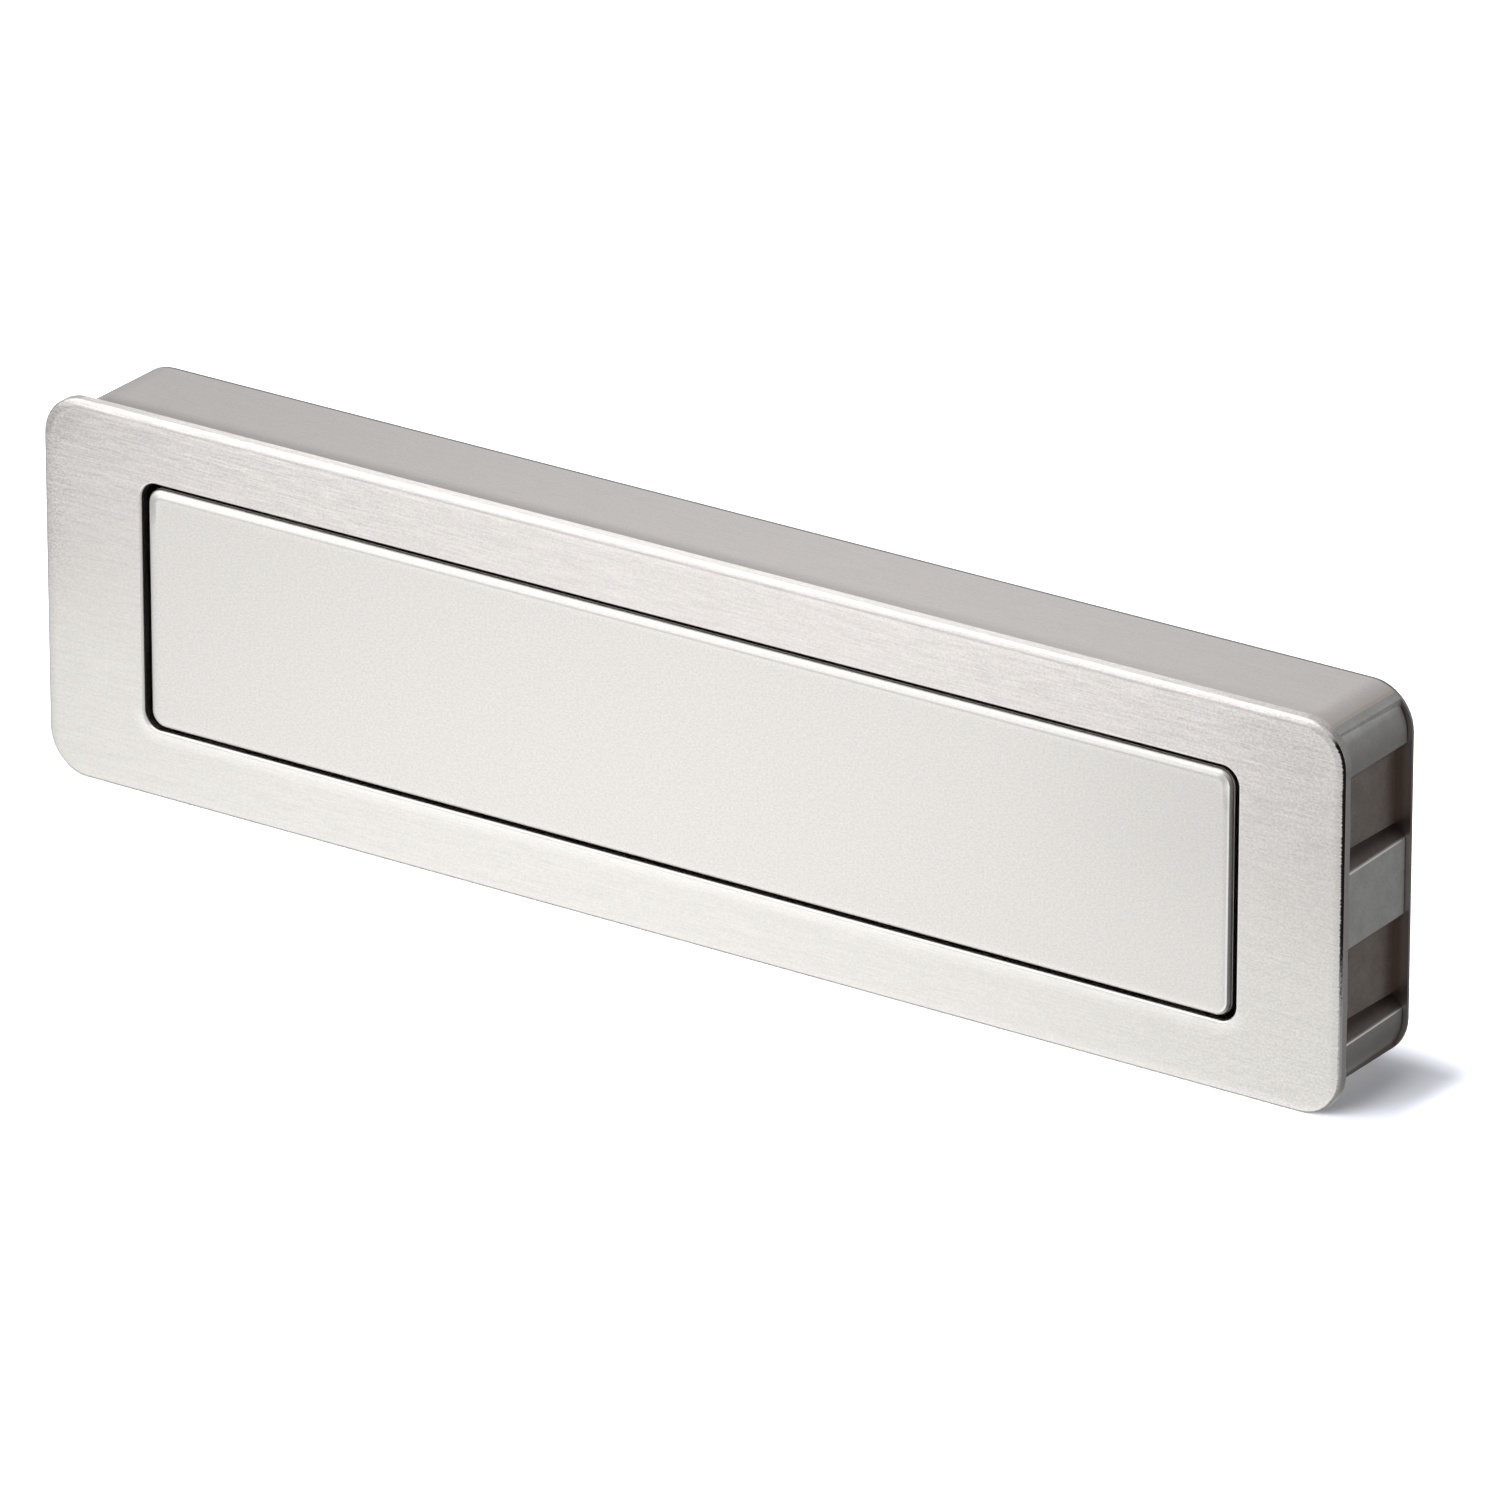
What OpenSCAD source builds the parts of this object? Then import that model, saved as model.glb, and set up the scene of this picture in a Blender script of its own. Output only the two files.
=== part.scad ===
// Recessed pull handle: a die-cast housing let into a panel, its opening closed by a sprung flap.
// +X runs along the handle, +Y into the panel, +Z up, and the origin is the handle's middle.
// Depths below are counted from the front face, and centred() moves each piece at the end.

/* [Front plate] */
// Length of the front plate
plate_w = 200; // [196:1:240]
// Height of the front plate
plate_h = 53.2; // [53:0.2:60]
// Thickness of the front plate, which laps over the panel
plate_t = 1.5; // [1.4:0.1:1.8]
// Corner radius of the front plate
plate_r = 6; // [4:0.5:9]
// Rounding of the front plate's edge
plate_round = 0.4; // [0.3:0.1:0.6]

/* [Body] */
// Overhang of the front plate past each end of the body
end_overhang = 1.5; // [1:0.1:1.8]
// Overhang of the front plate past the body's long sides
side_overhang = 1.2; // [1:0.1:1.4]
// Depth from the front face to the back of the back plate
depth = 18.5; // [18:0.5:24]
// Thickness of the back plate, a thin sheet
back_t = 0.5; // [0.5:0.1:0.8]
// Corner radius of the body
body_r = 6; // [5:0.5:7]
// Casting wall thickness
wall = 1.8; // [1.6:0.1:2]
// Casting draft of the end faces, in degrees
end_draft = 1.5; // [1:0.5:3]
// Step from the body's corners down to the end faces
end_step = 0.2; // [0.1:0.1:0.4]

/* [End pockets] */
// Height of the block between the two pockets of an end
block_h = 9.5; // [9:0.5:11]
// Height of a pocket's mouth
pocket_h = 13.65; // [12:0.05:13.7]
// Depth of a pocket below the body's end
pocket_depth = 2.4; // [1.5:0.1:2.5]
// Rise of a pocket's sloped floor over its depth
pocket_slope = 2.3; // [1:0.1:3]

/* [Opening and flap] */
// Length of the opening
open_w = 169; // [160:0.5:169]
// Height of the opening
open_h = 34.6; // [32:0.2:34.6]
// Rise of the opening above the plate's middle
open_rise = 0.1; // [0:0.1:0.3]
// Corner radius of the opening
open_r = 2.5; // [2:0.5:3]
// Gap above and below the flap
flap_gap = 0.55; // [0.5:0.05:1]
// Gap at each end of the flap
flap_end_gap = 1; // [0.6:0.1:1.5]
// Depth of the flap's front below the front face
flap_inset = 0.2; // [0.1:0.1:0.5]
// Thickness of the flap
flap_t = 2; // [1.8:0.1:2.1]
// Rounding of the flap's edge
flap_round = 0.6; // [0.4:0.1:1]

/* [Hinge] */
// Diameter of the hinge rod
rod_d = 3; // [2.5:0.5:3]
// Depth of the rod's axis below the front face
rod_y = 4.85; // [4.8:0.05:5]
// Height of the rod's axis above the opening
rod_rise = 3; // [2.8:0.1:3]
// Diameter of the torsion springs' wire
wire_d = 0.7; // [0.5:0.1:0.7]
// Turns of a torsion spring
spring_turns = 5; // [3:1:5]

/* [Rear fixing] */
// Distance between the two threaded holes
fixing_pitch = 181.6; // [181:0.1:182]
// Radius of the threaded holes, as drilled for an M4 thread
fixing_r = 1.65; // [1.5:0.05:1.65]
// Depth of the threaded holes
fixing_depth = 12; // [8:1:13]

/* [Hidden] */
$fn = 64;

nickel = [0.80, 0.79, 0.77];
satin_nickel = [0.84, 0.83, 0.81];
steel = [0.62, 0.62, 0.63];
plate_steel = [0.55, 0.54, 0.52];
rubber = [0.13, 0.13, 0.13];

lap = 0.3;                            // how far cut tools and joined solids run into each other
body_w = plate_w - 2 * end_overhang;
body_h = plate_h - 2 * side_overhang;
back_y = depth - back_t;              // back face of the casting
sheet_round = 0.1;                    // broken edge of the back plate
rib_round = 0.3;                      // rounding of the end faces' back edges
split_x = body_w / 2 - body_r * (1 - cos(45)); // where the stepped end faces begin
inner_h = body_h - 2 * wall;
trough_w = open_w + 2;                // the recess behind the opening
trough_r = 2;

open_top = open_h / 2 + open_rise;
open_bottom = open_rise - open_h / 2;
open_round = 0.35;
flap_w = open_w - 2 * flap_end_gap;
flap_h = open_h - 2 * flap_gap;
flap_r = open_r - flap_gap / 2;
flap_drop = 0.1;                      // the flap hangs a little low in its opening
flap_back = flap_inset + flap_t;
flap_bottom = open_rise - flap_drop - flap_h / 2;

pocket_z = block_h / 2;               // lower edge of the upper pocket's mouth
pocket_draft = 1.2;
pocket_floor = body_w / 2 - pocket_depth;

cell_in = trough_w / 2 + wall;        // cored cells between the recess and the end pockets
cell_out = pocket_floor - wall;
cell_low = 5.2;
cell_high = 16.5;
plate_screw_x = (cell_in + cell_out) / 2;
plate_screw_z = 20.2;

rod_z = open_top + rod_rise;
rod_r = rod_d / 2;
rod_len = 159.6;
running_gap = 0.03;                   // radial play between the rod and the flap's knuckles
saddle_in = 74.5;                     // inner end of the casting's rod saddle
saddle_y = rod_y + rod_r + 0.05;      // flat on which the rod's clip sits
saddle_low = rod_z - 2.6;
rod_seat_end = rod_len / 2 + 0.4;
clip_t = 1;
clip_in = 75;
clip_out = 85;
clip_h = 4.6;
clip_screw_x = 82.8;
pilot_r = 1.1;                        // pilot holes of the small screws
pilot_floor = 2.6;
shank_r = 1.05;
plate_pilot = 6;                      // depth of the plate screws' pilot holes
tip_play = 1;                         // free depth below a plate screw's tip
clip_hole_r = 1.3;
head_r = 2.1;
head_h = 1.5;

knuckle_r = 2.3;
knuckle_in = 58;
knuckle_out = 65.6;
stop_in = 70;                         // the flap's two stop tabs, behind the lower border
stop_out = 78;
stop_front = 2.7;
stop_back = 4.1;
stop_reach = 2.9;                     // how far a tab reaches below the flap
bumper_gap = 0.05;

coil_in = 66.7;
coil_pitch = 0.86;
coil_r = 2.1;
flap_leg_z = 9.5;                     // end of the leg that presses the flap shut
wall_leg_y = 12.5;                    // end of the leg that bears on the casting's top wall
wire_r = wire_d / 2;
wire_sides = 8;
rings_per_turn = 20;

sink_r = 2.3;                         // countersinks of the back plate's screws, flush at the back
sink_depth = 1.1;
sink_play = 0.05;
fixing_clear_r = 2.25;

// Carries a flat outline, drawn as seen from the front, into a solid from depth y0 to y1.
module from_front(y0, y1) translate([0, y1, 0]) rotate([90, 0, 0]) linear_extrude(y1 - y0) children();

// Carries a side view, drawn with depth to the right and height up, into a solid from x0 to x1.
module from_side(x0, x1) translate([x0, 0, 0]) rotate([90, 0, 90]) linear_extrude(x1 - x0) children();

// A cylinder into the depth, from y0 to y1.
module bore(x, z, r, y0, y1) translate([x, y0, z]) rotate([-90, 0, 0]) cylinder(h = y1 - y0, r = r);

module rounded_rect(w, h, r) {
    square([w - 2 * r, h], center = true);
    square([w, h - 2 * r], center = true);
    for (sx = [-1, 1], sy = [-1, 1])
        translate([sx * (w / 2 - r), sy * (h / 2 - r)]) circle(r);
}

// Half section through a slab's edge: width r, thickness t, top corner rounded by e.
module edge_section(r, t, e) {
    square([r - e, t]);
    square([r, t - e]);
    translate([r - e, t - e]) circle(e);
}

// Slab on z = 0 with upright corners of radius r and a top edge rounded by e:
// a middle block, four straight edges and four turned corners.
module slab(w, h, r, t, e) {
    linear_extrude(t) square([w - 2 * r, h - 2 * r], center = true);
    for (turn = [0, 180]) rotate(turn) {
        translate([w / 2 - r, h / 2 - r, 0]) rotate([90, 0, 0])
            linear_extrude(h - 2 * r) edge_section(r, t, e);
        translate([r - w / 2, h / 2 - r, 0]) rotate([90, 0, 90])
            linear_extrude(w - 2 * r) edge_section(r, t, e);
        translate([w / 2 - r, h / 2 - r, 0])
            rotate_extrude(angle = 90) edge_section(r, t, e);
        translate([r - w / 2, h / 2 - r, 0]) rotate(90)
            rotate_extrude(angle = 90) edge_section(r, t, e);
    }
}

// The same slab with its rounded edge to the front, its front face at depth y.
module slab_to_front(w, h, r, t, e, y) translate([0, y + t, 0]) rotate([90, 0, 0]) slab(w, h, r, t, e);

// The same slab with its rounded edge to the back, its front face at depth y.
module slab_to_back(w, h, r, t, e, y) translate([0, y, 0]) rotate([-90, 0, 0]) slab(w, h, r, t, e);

// Section of what a rounding of radius e takes off an edge at [0, 0].
module rounding_section(e) difference() {
    translate([-lap, -lap]) square(e + lap);
    translate([e, e]) circle(e);
}

// Cutter that rounds the edge at z = 0 of an opening with upright corners of radius r.
module opening_edge(w, h, r, e) for (turn = [0, 180]) rotate(turn) {
    translate([w / 2, h / 2 - r, 0]) rotate([90, 0, 0])
        linear_extrude(h - 2 * r) rounding_section(e);
    translate([r - w / 2, h / 2, 0]) rotate([90, 0, 90])
        linear_extrude(w - 2 * r) rounding_section(e);
    translate([w / 2 - r, h / 2 - r, 0])
        rotate_extrude(angle = 90) translate([r, 0]) rounding_section(e);
    translate([r - w / 2, h / 2 - r, 0]) rotate(90)
        rotate_extrude(angle = 90) translate([r, 0]) rounding_section(e);
}

// End face of the casting: stepped in from the body, drafted towards the back, back edge rounded.
module end_face() {
    reach = 20;
    height = body_h - 2 * end_step;
    front_y = plate_t / 2;
    translate([body_w / 2 - end_step, plate_t, 0]) rotate(end_draft)
        translate([-reach / 2, -plate_t, 0])
            slab_to_back(reach, height, body_r - end_step, back_y - front_y, rib_round, front_y);
}

// One pocket of an end, cut from the front plate to the open back.
// Its mouth widens towards the back by the casting's draft.
module end_pocket() {
    out = body_w / 2 + 2;
    slope = pocket_slope / pocket_depth;
    spread = slope * (out - pocket_floor) - pocket_slope;
    middle = pocket_z + pocket_h / 2;
    for (turn = [-pocket_draft, pocket_draft])
        translate([0, plate_t, middle]) rotate([turn, 0, 0]) translate([0, -plate_t, -middle])
            from_front(plate_t, depth + 2) polygon([
                [pocket_floor, pocket_z + pocket_slope],
                [out, pocket_z - spread],
                [out, pocket_z + pocket_h + spread],
                [pocket_floor, pocket_z + pocket_h - pocket_slope]]);
}

// A cored cell between the recess and an end pocket.
module end_cell() translate([(cell_in + cell_out) / 2, 0, (cell_low + cell_high) / 2])
    from_front(plate_t, depth) rounded_rect(cell_out - cell_in, cell_high - cell_low, trough_r);

// Block on the back of the upper border that carries one end of the hinge rod.
module rod_saddle() translate([saddle_in, plate_t / 2, saddle_low])
    cube([trough_w / 2 + lap - saddle_in, saddle_y - plate_t / 2, inner_h / 2 + lap - saddle_low]);

// Conical seat for a screw head, open to the back. It runs through the back plate into the casting.
module countersink(x, z) translate([x, depth - sink_depth, z]) rotate([-90, 0, 0])
    cylinder(h = sink_depth + lap, r1 = sink_r - sink_depth, r2 = sink_r + lap);

// The rod's seat, open to the back, and the pilot hole of its clip's screw.
module rod_seat() {
    translate([0, rod_y, rod_z]) rotate([0, 90, 0]) cylinder(h = rod_seat_end, r = rod_r);
    translate([0, rod_y, rod_z - rod_r]) cube([rod_seat_end, depth, rod_d]);
    bore(clip_screw_x, rod_z, pilot_r, pilot_floor, depth);
}

module housing() color(nickel) difference() {
    union() {
        difference() {
            union() {
                slab_to_front(plate_w, plate_h, plate_r, plate_t, plate_round, 0);
                intersection() {
                    from_front(plate_t / 2, back_y) rounded_rect(body_w, body_h, body_r);
                    cube([2 * split_x, 3 * depth, plate_h], center = true);
                }
                for (side = [0, 1]) mirror([side, 0, 0]) end_face();
            }
            from_front(plate_t, depth) rounded_rect(trough_w, inner_h, trough_r);
            for (sx = [0, 1], sz = [0, 1]) mirror([sx, 0, 0]) mirror([0, 0, sz]) {
                end_cell();
                end_pocket();
            }
        }
        for (side = [0, 1]) mirror([side, 0, 0]) rod_saddle();
    }
    translate([0, 0, open_rise]) {
        from_front(-lap, plate_t + lap) rounded_rect(open_w, open_h, open_r);
        rotate([-90, 0, 0]) opening_edge(open_w, open_h, open_r, open_round);
    }
    for (side = [0, 1]) mirror([side, 0, 0]) {
        rod_seat();
        bore(fixing_pitch / 2, 0, fixing_r, back_y - fixing_depth, depth);
        for (sz = [-1, 1]) {
            bore(plate_screw_x, sz * plate_screw_z, pilot_r, back_y - plate_pilot, depth);
            countersink(plate_screw_x, sz * plate_screw_z);
        }
    }
}

// Knuckle of the flap: a barrel round the rod on an arm from the flap's back.
module knuckle() {
    translate([knuckle_in, rod_y, rod_z]) rotate([0, 90, 0])
        cylinder(h = knuckle_out - knuckle_in, r = knuckle_r);
    from_side(knuckle_in, knuckle_out) polygon([
        [flap_back - lap, -2],
        [flap_back - lap, open_top - 1.6],
        [rod_y - knuckle_r + 0.1, rod_z - 0.8],
        [rod_y + knuckle_r - 0.2, rod_z - 0.8],
        [rod_y + 0.4, open_top - 4],
        [flap_back + 1.2, -2]]);
}

// Stop tab of the flap, which lands behind the lower border.
module stop_tab() from_side(stop_in, stop_out) polygon([
    [flap_back - lap, flap_bottom + 5],
    [flap_back - lap, flap_bottom + 0.6],
    [stop_front, flap_bottom],
    [stop_front, flap_bottom - stop_reach],
    [stop_back, flap_bottom - stop_reach],
    [stop_back, flap_bottom + 3]]);

module flap() color(satin_nickel) difference() {
    union() {
        translate([0, 0, open_rise - flap_drop])
            slab_to_front(flap_w, flap_h, flap_r, flap_t, flap_round, flap_inset);
        for (side = [0, 1]) mirror([side, 0, 0]) {
            knuckle();
            stop_tab();
        }
        for (z = [-7, 5])
            translate([-knuckle_in - lap, flap_back - lap, z]) cube([2 * knuckle_in + 2 * lap, 1.3, 1.4]);
    }
    translate([-rod_len / 2, rod_y, rod_z]) rotate([0, 90, 0])
        cylinder(h = rod_len, r = rod_r + running_gap);
}

module hinge_rod() color(steel) translate([-rod_len / 2, rod_y, rod_z]) rotate([0, 90, 0]) {
    bevel = 0.4;
    cylinder(h = bevel, r1 = rod_r - bevel, r2 = rod_r);
    translate([0, 0, bevel]) cylinder(h = rod_len - 2 * bevel, r = rod_r);
    translate([0, 0, rod_len - bevel]) cylinder(h = bevel, r1 = rod_r, r2 = rod_r - bevel);
}

// The point at angle a round the rod's axis, seen from the end of the handle.
function on_coil(a, x) = [x, rod_y + coil_r * cos(a), rod_z + coil_r * sin(a)];
// The angle at which a straight leg that ends at [y, z] leaves the coil, on the side given by turn.
function leg_angle(y, z, turn) =
    atan2(z - rod_z, y - rod_y) + turn * acos(coil_r / norm([y - rod_y, z - rod_z]));

flap_leg_y = flap_back + wire_r + 0.03;
wall_leg_z = inner_h / 2 - wire_r - 0.03;
coil_start = leg_angle(wall_leg_y, wall_leg_z, 1);
coil_end = leg_angle(flap_leg_y, flap_leg_z, -1) + 360 * (spring_turns + 1);
coil_rings = round((coil_end - coil_start) / 360 * rings_per_turn);
coil_len = coil_pitch * (coil_end - coil_start) / 360;
wire_path = concat(
    [[coil_in + coil_len, wall_leg_y, wall_leg_z]],
    [for (i = [0:coil_rings])
        let (s = i / coil_rings)
        on_coil(coil_start + s * (coil_end - coil_start), coil_in + coil_len * (1 - s))],
    [[coil_in, flap_leg_y, flap_leg_z]]);

function unit(v) = v / norm(v);
function path_direction(p, i) = unit(p[min(i + 1, len(p) - 1)] - p[max(i - 1, 0)]);
// The ring of points round the wire at point i of its path.
function wire_ring(p, i) =
    let (t = path_direction(p, i), u = unit([1, 0, 0] - t * t[0]), v = cross(t, u))
    [for (k = [0:wire_sides - 1])
        p[i] + wire_r * (cos(360 * k / wire_sides) * u + sin(360 * k / wire_sides) * v)];

// Torsion spring: a round wire swept along its legs and coil.
module torsion_spring() {
    last = len(wire_path) - 1;
    points = [for (i = [0:last]) each wire_ring(wire_path, i)];
    walls = [for (i = [0:last - 1], k = [0:wire_sides - 1])
        let (a = i * wire_sides + k, b = i * wire_sides + (k + 1) % wire_sides)
        [a, b, b + wire_sides, a + wire_sides]];
    ends = [[for (k = [wire_sides - 1:-1:0]) k], [for (k = [0:wire_sides - 1]) last * wire_sides + k]];
    color(steel) polyhedron(points, concat(walls, ends));
}

// Strap that keeps one end of the rod in its saddle.
module rod_clip() color(steel) difference() {
    translate([(clip_in + clip_out) / 2, 0, rod_z])
        from_front(saddle_y, saddle_y + clip_t) rounded_rect(clip_out - clip_in, clip_h, 1);
    bore(clip_screw_x, rod_z, clip_hole_r, 0, depth);
}

// Pan-head screw through the clip into the saddle.
module clip_screw() {
    head_y = saddle_y + clip_t;
    bore(clip_screw_x, rod_z, shank_r, pilot_floor + 0.4, head_y + lap);
    difference() {
        bore(clip_screw_x, rod_z, head_r, head_y, head_y + head_h);
        cross_slots(clip_screw_x, rod_z, head_y + head_h);
    }
}

// Cross recess in a screw head whose top is at depth y.
module cross_slots(x, z, y) for (turn = [0, 90])
    translate([x, y, z]) rotate([0, turn, 0]) cube([2.2, 1.4, 0.5], center = true);

// Soft pad on the back of the lower border, under a stop tab.
module bumper() color(rubber) translate([(stop_in + stop_out) / 2, 0, open_bottom - 1.6])
    slab_to_back(stop_out - stop_in, 2.2, 0.8, stop_front - bumper_gap - plate_t, 0.3, plate_t);

module back_plate() color(plate_steel) difference() {
    slab_to_back(body_w, body_h, body_r, back_t, sheet_round, back_y);
    for (sx = [-1, 1]) {
        bore(sx * fixing_pitch / 2, 0, fixing_clear_r, back_y - lap, depth + lap);
        for (sz = [-1, 1]) countersink(sx * plate_screw_x, sz * plate_screw_z);
    }
}

// Countersunk screw at one corner of the back plate.
module plate_screw(x, z) {
    head_y = depth - sink_play;
    difference() {
        union() {
            bore(x, z, shank_r, back_y - plate_pilot + tip_play, head_y - sink_depth / 2);
            translate([x, head_y - sink_depth + sink_play, z]) rotate([-90, 0, 0])
                cylinder(h = sink_depth - sink_play, r1 = sink_r - sink_depth, r2 = sink_r - sink_play);
        }
        cross_slots(x, z, head_y);
    }
}

module clip_screws() color(steel) for (side = [0, 1]) mirror([side, 0, 0]) clip_screw();

module plate_screws() color(steel) for (sx = [-1, 1], sz = [-1, 1])
    plate_screw(sx * plate_screw_x, sz * plate_screw_z);

// Places a piece, drawn with its depth counted from the front face, about the handle's middle.
module centred() translate([0, -depth / 2, 0]) children();

centred() housing();
centred() flap();
centred() hinge_rod();
centred() mirror([1, 0, 0]) torsion_spring();  // spring_left
centred() torsion_spring();  // spring_right
centred() mirror([1, 0, 0]) rod_clip();  // rod_clip_left
centred() rod_clip();  // rod_clip_right
centred() clip_screws();
centred() mirror([1, 0, 0]) bumper();  // bumper_left
centred() bumper();  // bumper_right
centred() back_plate();
centred() plate_screws();
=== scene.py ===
"""Looks of the recessed pull handle: nickel finishes, studio floor, soft light and the camera."""

from math import cos, pi, radians, sin, tan

import bmesh
import bpy
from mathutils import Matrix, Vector


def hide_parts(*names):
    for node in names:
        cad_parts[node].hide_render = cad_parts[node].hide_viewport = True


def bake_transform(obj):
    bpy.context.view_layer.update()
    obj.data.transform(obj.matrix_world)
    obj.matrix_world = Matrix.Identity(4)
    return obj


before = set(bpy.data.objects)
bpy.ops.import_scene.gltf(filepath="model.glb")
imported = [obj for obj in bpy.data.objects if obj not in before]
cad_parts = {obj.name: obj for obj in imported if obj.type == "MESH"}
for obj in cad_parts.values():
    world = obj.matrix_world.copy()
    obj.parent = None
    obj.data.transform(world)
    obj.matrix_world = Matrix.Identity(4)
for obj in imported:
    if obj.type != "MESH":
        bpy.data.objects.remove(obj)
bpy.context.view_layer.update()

MM = 0.001
WIDTH = 200 * MM                 # length of the front plate
HEIGHT = 53.2 * MM
DEPTH = 18.5 * MM                # from the front face to the back plate's outer face
CORNER = 6 * MM                  # corner radius of the front plate and the back plate
FRONT_Y = -DEPTH / 2             # the front face
LIP_BACK_Y = FRONT_Y + 1.5 * MM  # the front plate's back
CASTING_BACK_Y = DEPTH / 2 - 0.5 * MM  # where the back plate begins
FLOOR_Z = -HEIGHT / 2            # the front plate stands on its lower edge

# Upright rounded rectangles: width, height and corner radius
PLATE = (WIDTH, HEIGHT, CORNER)
OPENING = (169 * MM, 34.6 * MM, 2.5 * MM)
OPENING_RISE = 0.1 * MM          # of the opening's middle above the plate's
FLAP = (167 * MM, 33.5 * MM, 2.2 * MM)
BACK_PLATE = (197 * MM, 50.8 * MM, CORNER)

# The casting
END_FACE_X = 98.3 * MM           # the stepped end faces at the lip, which lean in by a draft of 1.5 degrees
END_DRAFT = tan(radians(1.5))
END_STEP_X = 96.74 * MM          # where the stepped end faces begin
RECESS_X = 95.9 * MM             # nearer the middle than this is the finger recess
SKIN_Z = 24.6 * MM               # further up or down than this is the body's outer skin

# Camera: the photograph's viewing angle, through a long lens
AZIMUTH = 34.45
ELEVATION = 22.95
DISTANCE = 1.8987                # metres from the target
LENS = 363.4                     # millimetres, on a sensor 36 mm wide
TARGET = Vector((0.0102, FRONT_Y, 0.00321))

# Surroundings
FLOOR_HALF = 3.0
FLOOR_TINT = (0.84, 0.865, 0.93)
BACKDROP_LEVEL = 1.05            # what the camera sees behind the floor
AMBIENT_LEVEL = 0.50             # what lights the floor from all round
LIGHT_REACH = 1.5                # distance of the floor's lights
TENT_RADIUS = 0.5
TENT_BASE = 0.55
TENT = (
    # azimuth, elevation, full within degrees, gone beyond degrees, level
    (-70, -17, 34, 62, 0.60),        # floor at the far left
    (-27, -36, 16, 32, 1.26),        # pool of light in front, which the plate reflects
    (-14.4, -22.4, 5, 9.4, 0.21),    # dark card beside it, for the faces' fall at their right edges
    (32, -20, 12, 28, 0.90),         # pale floor at the right
    (-148.5, 38.5, 5, 16, 0.88),     # wall behind, which the body's top reflects
    (145.6, -23, 12, 32, 0.27),      # darker floor behind, at the right
    (-133, 45, 6, 14, 1.25),         # lamp over that wall, for the lip's top side
    (-46, 46, 31, 48, 1.38),         # softbox
)

# Tints, in linear red, green and blue. A pair is the dark and the light of one mottled surface.
PLATE_LOWER = (0.783, 0.763, 0.727)
PLATE_UPPER = (0.785, 0.751, 0.725)
SKIN = (0.748, 0.710, 0.692)
# Painted shade on the top skin just behind the lip
SKIN_LIP_SHADE = (0.515, 0.488, 0.475)
CAST_FACE = (0.44, 0.44, 0.43), (0.55, 0.55, 0.535)
# Painted shade on the end's ribs, foot and top corner
CAST_RIB_SHADE = (0.22, 0.21, 0.20)
CAST_FOOT_SHADE = (0.09, 0.07, 0.062)
CAST_TOP_SHADE = (0.24, 0.245, 0.25)
# Pale pocket edges: partly wear, partly a painted highlight
CAST_WORN_HIGHLIGHT = (0.80, 0.79, 0.77)
# End pockets: partly a rougher, browner casting, partly painted shade; painted shade on their ledges
POCKET = (0.23, 0.195, 0.178), (0.32, 0.28, 0.257)
POCKET_LEDGE_SHADE = (0.03, 0.022, 0.018)
RECESS = (0.56, 0.51, 0.47)
FLAP_FACE = (0.793, 0.771, 0.741)
FLAP_SIDE = (0.40, 0.39, 0.37)
FLAP_BACK = (0.20, 0.185, 0.17)
SHEET_FACE = (0.58, 0.565, 0.54), (0.71, 0.695, 0.665)
SHEET_RIM = (0.30, 0.29, 0.27)
# Painted shade on the back plate's inner face
SHEET_INNER_SHADE = (0.20, 0.155, 0.135)
SHEET_INNER_RIM_SHADE = (0.27, 0.25, 0.235)
GROUND_STEEL = (0.48, 0.475, 0.465), (0.62, 0.615, 0.605)
DRAWN_STEEL = (0.24, 0.235, 0.23), (0.36, 0.355, 0.35)
STRIP_STEEL = (0.50, 0.505, 0.52), (0.62, 0.63, 0.65)
SCREW_STEEL = (0.46, 0.46, 0.47), (0.60, 0.60, 0.61)
RUBBER = (0.018, 0.018, 0.018), (0.040, 0.039, 0.038)

# Relief of the finishes, in metres for a noise level of 1
GRAIN_RELIEF = 0.000008
BRUSH_RELIEF = 0.000006
CAST_RELIEF = 0.000012
TURNED_RELIEF = 0.000004
PLATED_RELIEF = 0.000006
ROLLED_RELIEF = 0.000003
RUBBER_RELIEF = 0.00003


def direction(azimuth, elevation):
    """Unit vector from the object towards an azimuth, counted from the front towards +X, and an elevation."""
    a = radians(azimuth)
    e = radians(elevation)
    return Vector((sin(a) * cos(e), -cos(a) * cos(e), sin(e)))


def grey(level):
    return (level, level, level)


def link(name, data):
    made = bpy.data.objects.new(name, data)
    bpy.context.scene.collection.objects.link(made)
    return made


def add_camera():
    data = bpy.data.cameras.new("camera")
    data.lens = LENS
    data.sensor_width = 36.0
    data.clip_end = 20.0
    camera = link("camera", data)
    camera.location = TARGET + direction(AZIMUTH, ELEVATION) * DISTANCE
    camera.rotation_euler = (TARGET - camera.location).to_track_quat("-Z", "Y").to_euler()
    bpy.context.scene.camera = camera


# Shader building

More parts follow.
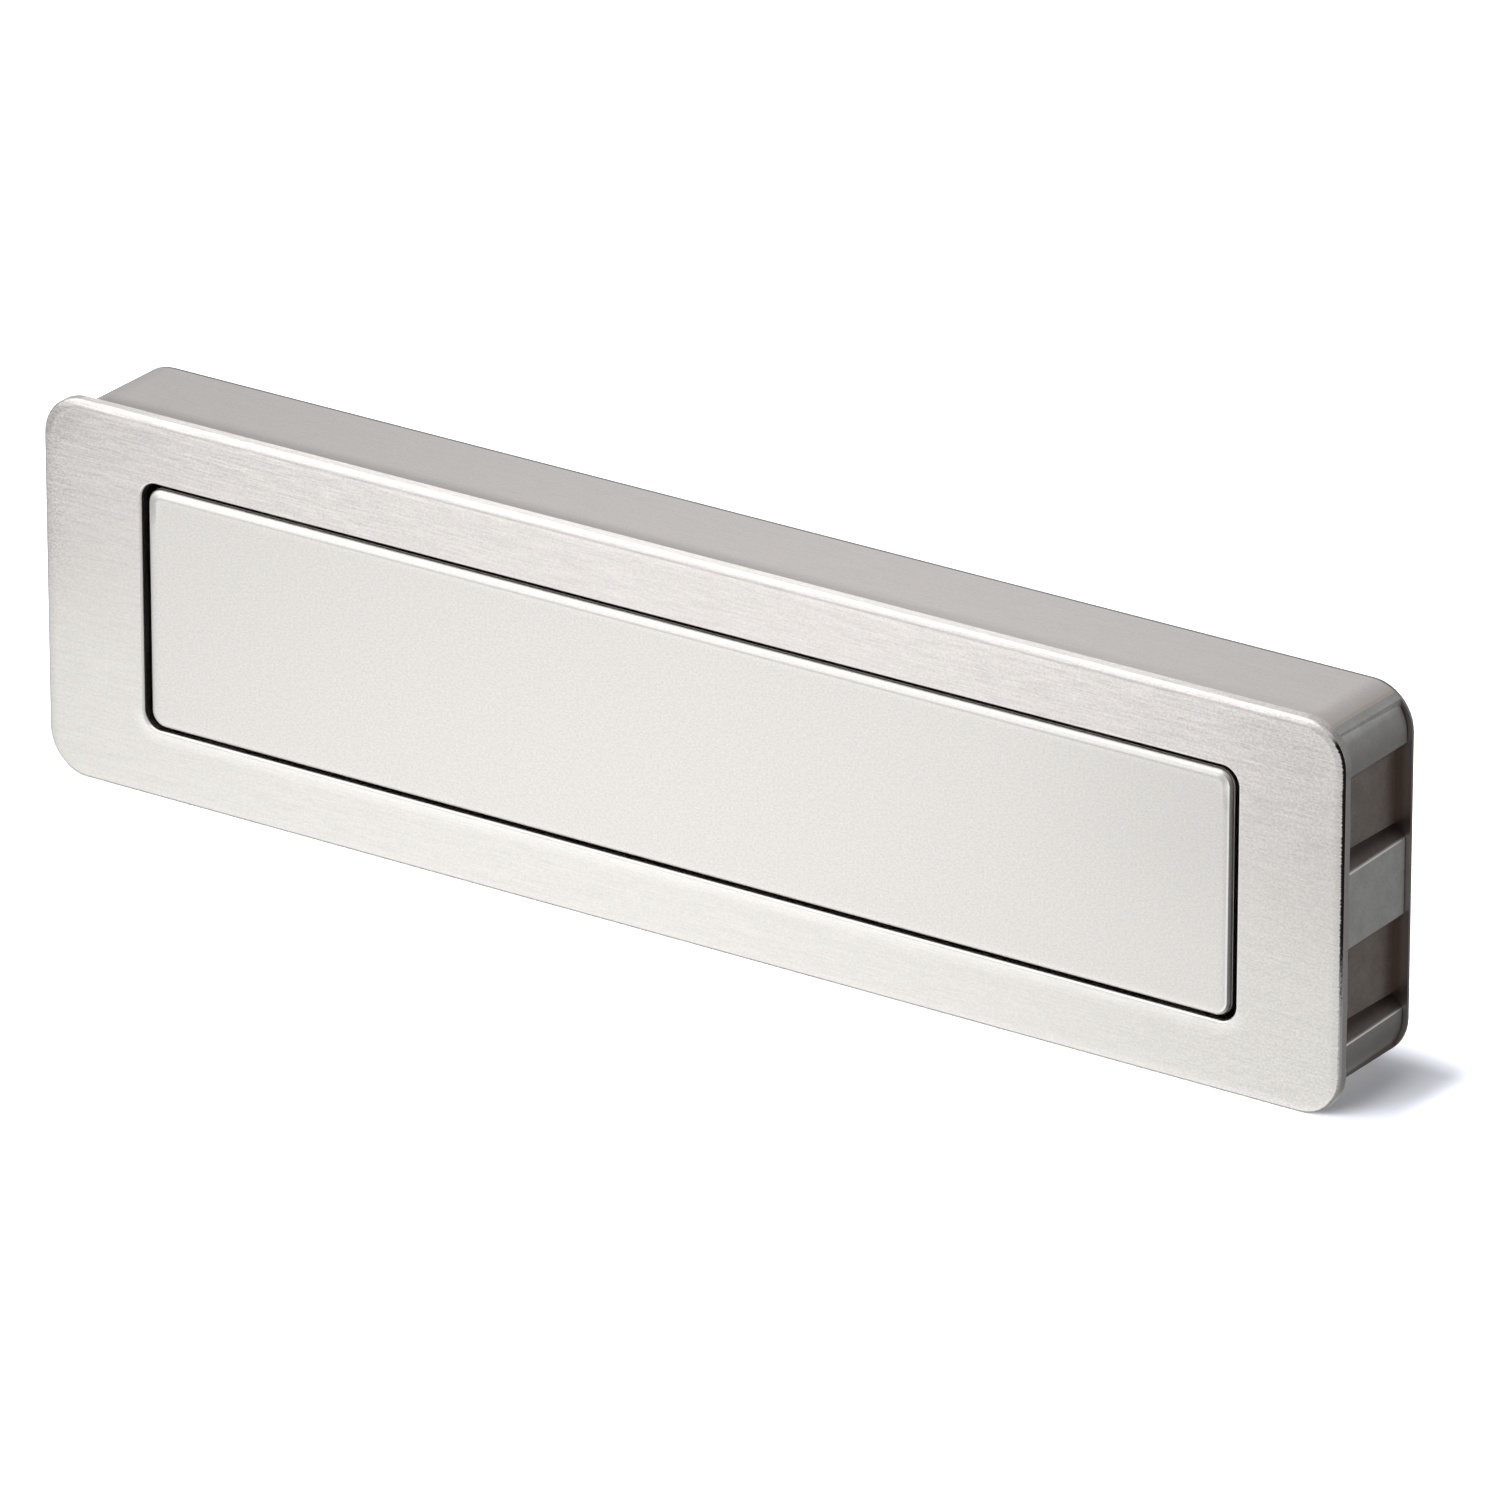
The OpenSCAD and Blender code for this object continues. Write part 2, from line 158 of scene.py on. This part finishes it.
class Graph:
    """Short calls for the nodes of one material or world. A tint is a tuple of three, a level a number."""

    def __init__(self, tree):
        self.tree = tree

    def node(self, kind, inputs=None, **settings):
        made = self.tree.nodes.new(kind)
        for key, value in settings.items():
            setattr(made, key, value)
        for key, value in (inputs or {}).items():
            self.feed(made.inputs[key], value)
        return made

    def feed(self, socket, value):
        if isinstance(value, bpy.types.NodeSocket):
            self.tree.links.new(value, socket)
        else:
            socket.default_value = value

    def math(self, operation, a, b=0.0):
        return self.node("ShaderNodeMath", {0: a, 1: b}, operation=operation).outputs[0]

    def add(self, *values):
        total = values[0]
        for value in values[1:]:
            total = self.math("ADD", total, value)
        return total

    def times(self, *values):
        total = values[0]
        for value in values[1:]:
            total = self.math("MULTIPLY", total, value)
        return total

    def minus(self, a, b):
        return self.math("SUBTRACT", a, b)

    def rest(self, share):
        """What a share leaves of the whole."""
        return self.minus(1.0, share)

    def vector(self, operation, a, b, output=0):
        return self.node("ShaderNodeVectorMath", {0: a, 1: b}, operation=operation).outputs[output]

    def scale(self, tint, factor):
        return self.node("ShaderNodeVectorMath", {0: tint, "Scale": factor}, operation="SCALE").outputs[0]

    def remap(self, value, low, high, to_low=0.0, to_high=1.0):
        """Smooth step from to_low, where the value is low, to to_high, where it is high."""
        return self.node("ShaderNodeMapRange", {0: value, 1: low, 2: high, 3: to_low, 4: to_high},
                         interpolation_type="SMOOTHSTEP").outputs[0]

    def fade(self, distance, low, high, to_low=0.0, to_high=1.0):
        """The same for a distance, with low and high in millimetres."""
        return self.remap(distance, low * MM, high * MM, to_low, to_high)

    def mix(self, amount, a, b):
        made = self.node("ShaderNodeMix", data_type="RGBA")
        self.feed(made.inputs[0], amount)
        for index, tint in ((6, a), (7, b)):
            self.feed(made.inputs[index], (*tint, 1.0) if isinstance(tint, tuple) else tint)
        return made.outputs[2]

    def point(self):
        return self.node("ShaderNodeTexCoord").outputs["Object"]

    def axes(self, vector):
        return self.node("ShaderNodeSeparateXYZ", {0: vector}).outputs

    def noise(self, point, cells, detail, roughness=0.5, offset=0.0):
        """Noise centred on zero, with a number of cells per metre along each axis."""
        moved = self.vector("ADD", self.vector("MULTIPLY", point, cells), grey(offset))
        made = self.node("ShaderNodeTexNoise", {"Vector": moved, "Scale": 1.0, "Detail": detail,
                                                "Roughness": roughness})
        return self.minus(made.outputs[0], 0.5)


class Place:
    """Where a shaded point lies on the object, in metres."""

    def __init__(self, g):
        self.point = g.point()
        self.x, self.y, self.z = g.axes(self.point)
        self.across = g.math("ABSOLUTE", self.x)
        self.upright = g.math("ABSOLUTE", self.z)
        self.depth = g.minus(self.y, FRONT_Y)        # behind the front face


def inside(g, p, outline, rise=0.0):
    """Distance from an upright rounded rectangle's outline, positive inside it."""
    width, height, radius = outline
    past_x = g.minus(p.across, width / 2 - radius)
    past_z = g.minus(g.math("ABSOLUTE", g.minus(p.z, rise)), height / 2 - radius)
    corner = g.node("ShaderNodeCombineXYZ", {0: g.math("MAXIMUM", past_x, 0.0),
                                             1: g.math("MAXIMUM", past_z, 0.0)}).outputs[0]
    flat = g.math("MINIMUM", g.math("MAXIMUM", past_x, past_z), 0.0)
    outside = g.add(g.vector("LENGTH", corner, grey(0.0), output="Value"), flat)
    return g.minus(radius, outside)


def facing_side(g, p, outline, low, high, way=1.0):
    """The part of an outline that faces right, or left, fading in round its corners. Low and high in millimetres."""
    width, height, radius = outline
    past_x = g.minus(g.times(p.x, way), width / 2 - radius)
    past_z = g.minus(p.upright, height / 2 - radius)
    return g.fade(g.minus(past_x, past_z), low, high)


def roll_off(g, distance, reach, slope):
    """Height of a face that falls away towards an edge, over the last stretch before it."""
    near = g.math("MAXIMUM", g.rest(g.math("DIVIDE", distance, reach)), 0.0)
    return g.times(near, near, -0.5 * slope * reach)


# Studio

def add_floor():
    mesh = bpy.data.meshes.new("floor")
    mesh.from_pydata([(-FLOOR_HALF, -FLOOR_HALF, FLOOR_Z), (FLOOR_HALF, -FLOOR_HALF, FLOOR_Z),
                      (FLOOR_HALF, FLOOR_HALF, FLOOR_Z), (-FLOOR_HALF, FLOOR_HALF, FLOOR_Z)], [], [(0, 1, 2, 3)])
    floor = link("floor", mesh)
    material = bpy.data.materials.new("floor_white")
    material.use_nodes = True
    shader = material.node_tree.nodes["Principled BSDF"]
    shader.inputs["Base Color"].default_value = (*FLOOR_TINT, 1.0)
    shader.inputs["Roughness"].default_value = 0.9
    shader.inputs["Specular IOR Level"].default_value = 0.0
    mesh.materials.append(material)
    floor.visible_glossy = False


def add_tent():
    """The surroundings that the metal reflects: a sphere that glows by direction."""
    mesh = bpy.data.meshes.new("tent")
    shell = bmesh.new()
    bmesh.ops.create_uvsphere(shell, u_segments=96, v_segments=48, radius=TENT_RADIUS)
    shell.to_mesh(mesh)
    shell.free()
    tent = link("tent", mesh)
    material = bpy.data.materials.new("tent_glow")
    material.use_nodes = True
    tree = material.node_tree
    tree.nodes.clear()
    g = Graph(tree)
    way = g.node("ShaderNodeVectorMath", {0: g.point()}, operation="NORMALIZE").outputs[0]
    light = grey(TENT_BASE)
    for azimuth, elevation, inner, outer, level in TENT:
        facing = g.vector("DOT_PRODUCT", way, tuple(direction(azimuth, elevation)), output="Value")
        light = g.mix(g.remap(facing, cos(radians(outer)), cos(radians(inner))), light, grey(level))
    glow = g.node("ShaderNodeEmission", {"Color": light, "Strength": 1.0})
    g.node("ShaderNodeOutputMaterial", {"Surface": glow.outputs[0]})
    material.cycles.emission_sampling = "NONE"
    mesh.materials.append(material)
    tent.visible_camera = False
    tent.visible_diffuse = False
    tent.visible_shadow = False


def add_world():
    world = bpy.data.worlds.new("studio")
    bpy.context.scene.world = world
    world.use_nodes = True
    tree = world.node_tree
    tree.nodes.clear()
    g = Graph(tree)
    seen = g.node("ShaderNodeLightPath").outputs["Is Camera Ray"]
    light = g.mix(seen, grey(AMBIENT_LEVEL), grey(BACKDROP_LEVEL))
    back = g.node("ShaderNodeBackground", {"Color": light, "Strength": 1.0})
    g.node("ShaderNodeOutputWorld", {"Surface": back.outputs[0]})


def add_floor_light(name, left, front, spread, level):
    """A disc of light that only the floor receives, so that the metal shows the tent alone.

    Left and front are its direction's parts along -X and -Y. Spread is half its angle in degrees.
    """
    data = bpy.data.lights.new(name, "AREA")
    data.shape = "DISK"
    data.size = 2 * LIGHT_REACH * tan(radians(spread))
    data.energy = level * (pi * LIGHT_REACH) ** 2
    light = link(name, data)
    upward = (1 - left ** 2 - front ** 2) ** 0.5
    light.location = Vector((-left, -front, upward)) * LIGHT_REACH
    light.rotation_euler = (-light.location).to_track_quat("-Z", "Y").to_euler()
    light.visible_glossy = False


# Finishes

def new_material(name):
    material = bpy.data.materials.new(name)
    material.use_nodes = True
    return material, Graph(material.node_tree), material.node_tree.nodes["Principled BSDF"]


def finish(g, shader, colour, roughness, height, metallic=1.0):
    """Feeds a shader. The height is in metres."""
    g.feed(shader.inputs["Base Color"], colour)
    g.feed(shader.inputs["Roughness"], roughness)
    shader.inputs["Metallic"].default_value = metallic
    bump = g.node("ShaderNodeBump", {"Strength": 1.0, "Distance": 1.0, "Height": height})
    g.feed(shader.inputs["Normal"], bump.outputs[0])


def grain_level(g, point):
    """Fine even grain of a blasted and plated face."""
    return g.noise(point, (2800.0, 4300.0, 4300.0), 0.0)


def brush_level(g, point):
    """Short brush lines along X."""
    return g.noise(point, (260.0, 6000.0, 6000.0), 0.0, offset=7.0)


def cast_level(g, point):
    """Mottling of a bare casting."""
    broad = g.noise(point, grey(420.0), 3.0, 0.6, 3.0)
    fine = g.noise(point, grey(2600.0), 2.0, 0.6, 11.0)
    return g.add(g.times(broad, 0.6), g.times(fine, 0.6))


def mottled(g, level, spread, tints):
    """Between the dark and the light tint, by a level that runs from -spread to spread."""
    return g.mix(g.remap(level, -spread, spread), *tints)


def nickel_shine(g, p, on_lip, outline, grain, lines):
    """Brightness of the housing's nickel against its tint, with painted shade, highlights and dark reflections.
    Outline is the distance from the plate's edge.
    """
    # Grain and brush lines: stronger towards the plate's top and right, roughest on its worn upper left end
    upper = g.times(on_lip, g.fade(p.z, 0, 24), g.fade(p.across, 10, 75, 0.35, 1.0))
    at_right = g.times(on_lip, g.fade(p.x, 60, 98))
    worn_and_painted_light = g.times(g.fade(p.x, -94, -99.5), g.fade(p.z, -8, 8))
    grain_share = g.add(0.16, g.times(upper, 0.15), g.times(at_right, 0.16), g.times(worn_and_painted_light, 0.30))
    brush_share = g.add(0.10, g.times(upper, 0.22))

    # Painted shade: the plate's upper ends, its upper left corner and its worn left end are darker
    ends_shade = g.times(on_lip, g.fade(p.across, 72, 98), g.fade(p.z, -10, 10))
    left_corner_shade = g.times(on_lip, g.fade(p.x, -90, -97), g.fade(p.z, 19, 23))
    face = g.add(1.0, g.times(grain, grain_share), g.times(lines, brush_share),
                 g.times(worn_and_painted_light, -0.06), g.times(ends_shade, -0.07), g.times(left_corner_shade, -0.10))

    # Painted dark reflection in the edge's rounding: ragged and strong at the upper right, fainter left and below
    rounding = g.fade(p.depth, 0.36, 0.28)
    right = facing_side(g, p, PLATE, -1.5, 1.5)
    ragged = g.add(outline, g.times(lines, 0.16 * MM), g.times(grain, 0.16 * MM))
    strength = g.fade(g.add(p.z, g.times(grain, 12 * MM)), -14, -2, 0.42, 0.98)
    strong = g.times(right, g.fade(ragged, 0.44, 0.26), strength)
    elsewhere = g.math("MAXIMUM", facing_side(g, p, PLATE, -4, 0, -1.0), g.fade(p.z, 0, -20))
    faint = g.times(elsewhere, g.rest(right), g.fade(outline, 0.26, 0.10), 0.5)
    dark_reflection_line = g.times(rounding, g.add(strong, faint))

    # Painted highlights: a bright rim at the opening's right, a soft glow along the plate's top and under the
    # opening
    from_opening = g.times(inside(g, p, OPENING, OPENING_RISE), -1.0)
    rim_highlight = g.times(g.math("GREATER_THAN", p.x, 0.0), g.fade(p.upright, 17.5, 16.5),
                  g.fade(from_opening, 0.34, 0.20), 0.30)
    top_glow = g.times(g.fade(p.z, 19.5, 23.5), g.fade(outline, 2.3, 0.9, 0.0, 0.12))
    lower_glow = g.times(g.fade(p.z, -14, -17), g.fade(from_opening, 2.4, 0.2, 0.0, 0.16))
    bright = g.times(on_lip, g.add(rim_highlight, top_glow, lower_glow))

    # Painted shade: the lip's cut side at the right is darker than its face
    cut_side_shade = g.times(on_lip, facing_side(g, p, PLATE, -4, 0), g.fade(p.depth, 0.30, 0.42),
                       g.fade(p.z, 19, 22, 0.33, 0.55))
    return g.times(g.add(face, bright), g.rest(cut_side_shade), g.rest(dark_reflection_line))


def casting_tint(g, p, spots):
    """Pale mottled casting with painted shade on its ribs, foot and top corner; browner in the end pockets, partly
    as painted shade, and inside; pale pocket edges, partly worn and partly a painted highlight.
    """
    end_x = g.add(END_FACE_X, g.times(g.minus(LIP_BACK_Y, p.y), END_DRAFT))
    sunk = g.minus(end_x, p.across)                  # below the end face

    face = mottled(g, spots, 0.25, CAST_FACE)
    # Painted shade: darker ribs, a dark foot towards the bottom and back, and a darker band at the top corner
    rib_shade = g.times(g.fade(p.upright, 12, 19), g.fade(p.z, 23.2, 22), 0.55)
    foot_shade = g.times(g.fade(p.z, -17, -24), g.fade(p.y, -8, 6, 0.45, 0.85))
    face = g.mix(rib_shade, face, CAST_RIB_SHADE)
    face = g.mix(foot_shade, face, CAST_FOOT_SHADE)
    face = g.mix(g.fade(p.z, 23.2, 24.2, 0.0, 0.3), face, CAST_TOP_SHADE)

    # The pockets are darker and browner, partly a rougher casting and partly painted shade; their upward ledges get
    # painted shade, more the deeper they lie
    facing_up = g.axes(g.node("ShaderNodeNewGeometry").outputs["Normal"])[2]
    ledge_shade = g.times(g.remap(facing_up, 0.3, 0.8), g.fade(sunk, 0.2, 1.6, 0.55, 0.95))
    hollow = g.mix(ledge_shade, mottled(g, spots, 0.25, POCKET), POCKET_LEDGE_SHADE)

    in_pocket = g.times(g.fade(sunk, 0.14, 0.40), g.fade(p.upright, 20.5, 19.5))
    # Pale line along the pocket edges: partly rubbed edges, partly a painted highlight
    worn_and_painted_light = g.times(g.fade(sunk, 0.02, 0.05), g.fade(sunk, 0.20, 0.12), g.math("LESS_THAN", p.upright, 18.5 * MM),
                   g.math("GREATER_THAN", p.y, LIP_BACK_Y + 0.6 * MM))
    in_recess = g.math("LESS_THAN", p.across, RECESS_X)
    return g.mix(in_recess, g.mix(worn_and_painted_light, g.mix(in_pocket, face, hollow), CAST_WORN_HIGHLIGHT), RECESS)


def nickel_housing():
    """Nickel plating on the lip and the body's skin, a dull casting at the ends and inside."""
    material, g, shader = new_material("nickel_housing")
    p = Place(g)
    on_lip = g.math("LESS_THAN", p.y, LIP_BACK_Y + 0.05 * MM)
    on_skin = g.times(g.math("GREATER_THAN", p.upright, SKIN_Z), g.remap(p.across, END_STEP_X, END_STEP_X - 4 * MM),
                      g.rest(on_lip))
    plated = g.math("MAXIMUM", on_lip, on_skin)
    bare = g.rest(plated)
    grain = grain_level(g, p.point)
    lines = brush_level(g, p.point)
    spots = cast_level(g, p.point)
    outline = inside(g, p, PLATE)

    plate = g.mix(g.fade(p.z, -12, 12), PLATE_LOWER, PLATE_UPPER)
    # Painted shade on the top skin just behind the lip, strongest towards the left
    lip_shade = g.times(g.fade(p.depth, 7, 3.5), g.fade(p.x, 95, -20, 0.25, 1.0))
    skin = g.mix(lip_shade, SKIN, SKIN_LIP_SHADE)
    nickel = g.scale(g.mix(on_skin, plate, skin), nickel_shine(g, p, on_lip, outline, grain, lines))
    colour = g.mix(plated, casting_tint(g, p, spots), nickel)
    roughness = g.add(g.times(plated, g.add(0.30, g.times(grain, -0.06))), g.times(bare, 0.46))

    # The plate's face falls away towards its edge, most at the top, and its top side leans
    fall = g.add(roll_off(g, outline, 1.5 * MM, 0.08),
                 g.times(g.fade(p.z, 19.5, 23.5), g.fade(outline, 1.3, -0.2, 0.0, -0.32 * MM)))
    lean = g.times(p.depth, g.fade(p.z, 22, 25), 0.25)
    height = g.add(g.times(on_lip, g.add(fall, lean)),
                   g.times(plated, g.add(g.times(grain, GRAIN_RELIEF), g.times(lines, BRUSH_RELIEF))),
                   g.times(bare, spots, CAST_RELIEF))
    finish(g, shader, colour, roughness, height)
    return material


def nickel_flap():
    """Fine satin nickel on the flap's face, a dull casting behind it."""
    material, g, shader = new_material("nickel_flap")
    p = Place(g)
    on_side = g.fade(p.depth, 0.75, 0.85)
    behind = g.fade(p.depth, 2.0, 2.3)
    upper = g.fade(p.z, 11, 15)
    grain = grain_level(g, p.point)
    outline = inside(g, p, FLAP)

    # Painted light: bright highlights left and right, a dark reflection in the right rounding, a soft highlight
    # along the top and shade at the upper right
    front = g.fade(p.depth, 0.62, 0.52)
    right = g.times(facing_side(g, p, FLAP, -1.5, 1.5), front)
    left = g.times(facing_side(g, p, FLAP, -1.5, 1.5, -1.0), front)
    dark_reflection_line = g.times(right, g.fade(outline, 0.46, 0.40), 0.80)
    rim_highlights = g.add(g.times(right, g.fade(outline, 0.80, 0.62), 0.32), g.times(left, g.fade(outline, 0.60, 0.40), 0.30))
    glow = g.times(upper, g.fade(outline, 2.4, 1.0, 0.0, 0.08))
    upper_right_shade = g.times(g.fade(p.x, 45, 84), g.fade(p.z, -10, 8), -0.05)
    shine = g.times(g.add(1.0, g.times(grain, 0.23), rim_highlights, glow, upper_right_shade), g.rest(dark_reflection_line))

    colour = g.mix(on_side, g.scale(FLAP_FACE, shine), FLAP_SIDE)
    colour = g.mix(behind, colour, FLAP_BACK)
    roughness = g.add(0.33, g.times(grain, -0.06), g.times(behind, 0.2))
    fall = g.add(roll_off(g, outline, 1.4 * MM, 0.12),
                 g.times(upper, g.fade(outline, 1.45, 0.25, 0.0, -0.285 * MM)))
    height = g.add(g.times(g.rest(on_side), fall), g.times(grain, GRAIN_RELIEF))
    finish(g, shader, colour, roughness, height)
    return material


def turned_steel(name, tints, roughness):
    """Steel with fine rings round its length."""
    material, g, shader = new_material(name)
    point = g.point()
    rings = g.noise(point, (3800.0, 120.0, 120.0), 3.0, 0.6)
    stain = g.noise(point, grey(160.0), 3.0, 0.6, 9.0)
    finish(g, shader, mottled(g, g.add(rings, g.times(stain, 0.6)), 0.25, tints),
           g.add(roughness, g.times(stain, 0.15)), g.times(rings, TURNED_RELIEF))
    return material


def plated_steel(name, tints, roughness, cells):
    """Zinc-plated steel with a faint spangle, of a number of cells per metre."""
    material, g, shader = new_material(name)
    point = g.point()
    spangle = g.node("ShaderNodeTexVoronoi", {"Vector": point, "Scale": cells}).outputs["Color"]
    patch = g.minus(g.axes(spangle)[0], 0.5)
    fine = g.noise(point, grey(2400.0), 2.0, 0.6)
    finish(g, shader, mottled(g, g.add(g.times(patch, 0.35), fine), 0.3, tints),
           g.add(roughness, g.times(patch, 0.08)), g.times(fine, PLATED_RELIEF))
    return material


def rolled_sheet():
    """Nickel-plated sheet of the back plate, darker at its edges, with painted shade on its inner face."""
    material, g, shader = new_material("rolled_sheet")
    p = Place(g)
    lines = g.noise(p.point, (30.0, 1400.0, 1400.0), 3.0, 0.55)
    stain = g.noise(p.point, grey(55.0), 4.0, 0.6, 2.0)
    outline = inside(g, p, BACK_PLATE)
    face = mottled(g, g.add(lines, g.times(stain, 0.7)), 0.25, SHEET_FACE)
    outer = g.mix(g.fade(outline, 0.05, 0.25, 1.0, 0.0), face, SHEET_RIM)
    # Painted shade on the inner face, which shows in the end pockets, darkest away from its edge
    inner = g.mix(g.fade(outline, 1.6, 0.5), SHEET_INNER_SHADE, SHEET_INNER_RIM_SHADE)
    on_inner = g.math("LESS_THAN", p.y, CASTING_BACK_Y + 0.05 * MM)
    finish(g, shader, g.mix(on_inner, outer, inner), g.add(0.36, g.times(stain, 0.16)),
           g.times(lines, ROLLED_RELIEF))
    return material


def soft_rubber():
    material, g, shader = new_material("soft_rubber")
    grain = g.noise(g.point(), grey(1800.0), 3.0, 0.65)
    finish(g, shader, mottled(g, grain, 0.25, RUBBER), g.add(0.68, g.times(grain, 0.2)),
           g.times(grain, RUBBER_RELIEF), metallic=0.0)
    return material


def paint(material, *nodes):
    for node in nodes:
        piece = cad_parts[node]
        piece.data.materials.clear()
        piece.data.materials.append(material)


def add_springs(material):
    """The torsion springs: copies of their parts in the wire's finish, which take the parts' place."""
    for node, side in (("spring_left", -1), ("spring_right", 1)):
        wire = link(node + "_wire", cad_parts[node].data.copy())
        wire.data.materials.clear()
        wire.data.materials.append(material)
        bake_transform(wire)
        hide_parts(node)


add_camera()
add_floor()
add_tent()
add_world()
add_floor_light("overhead", left=0.14, front=0.10, spread=5.4, level=1.5)
add_floor_light("front", left=0.25, front=0.88, spread=26.0, level=2.4)

paint(nickel_housing(), "housing")
paint(nickel_flap(), "flap")
paint(turned_steel("ground_steel", GROUND_STEEL, roughness=0.26), "hinge_rod")
add_springs(turned_steel("spring_wire", DRAWN_STEEL, roughness=0.34))
paint(plated_steel("strip_steel", STRIP_STEEL, roughness=0.40, cells=700.0), "rod_clip_left", "rod_clip_right")
paint(plated_steel("screw_steel", SCREW_STEEL, roughness=0.34, cells=1500.0), "clip_screws", "plate_screws")
paint(rolled_sheet(), "back_plate")
paint(soft_rubber(), "bumper_left", "bumper_right")
bpy.context.scene.view_settings.view_transform = "Standard"
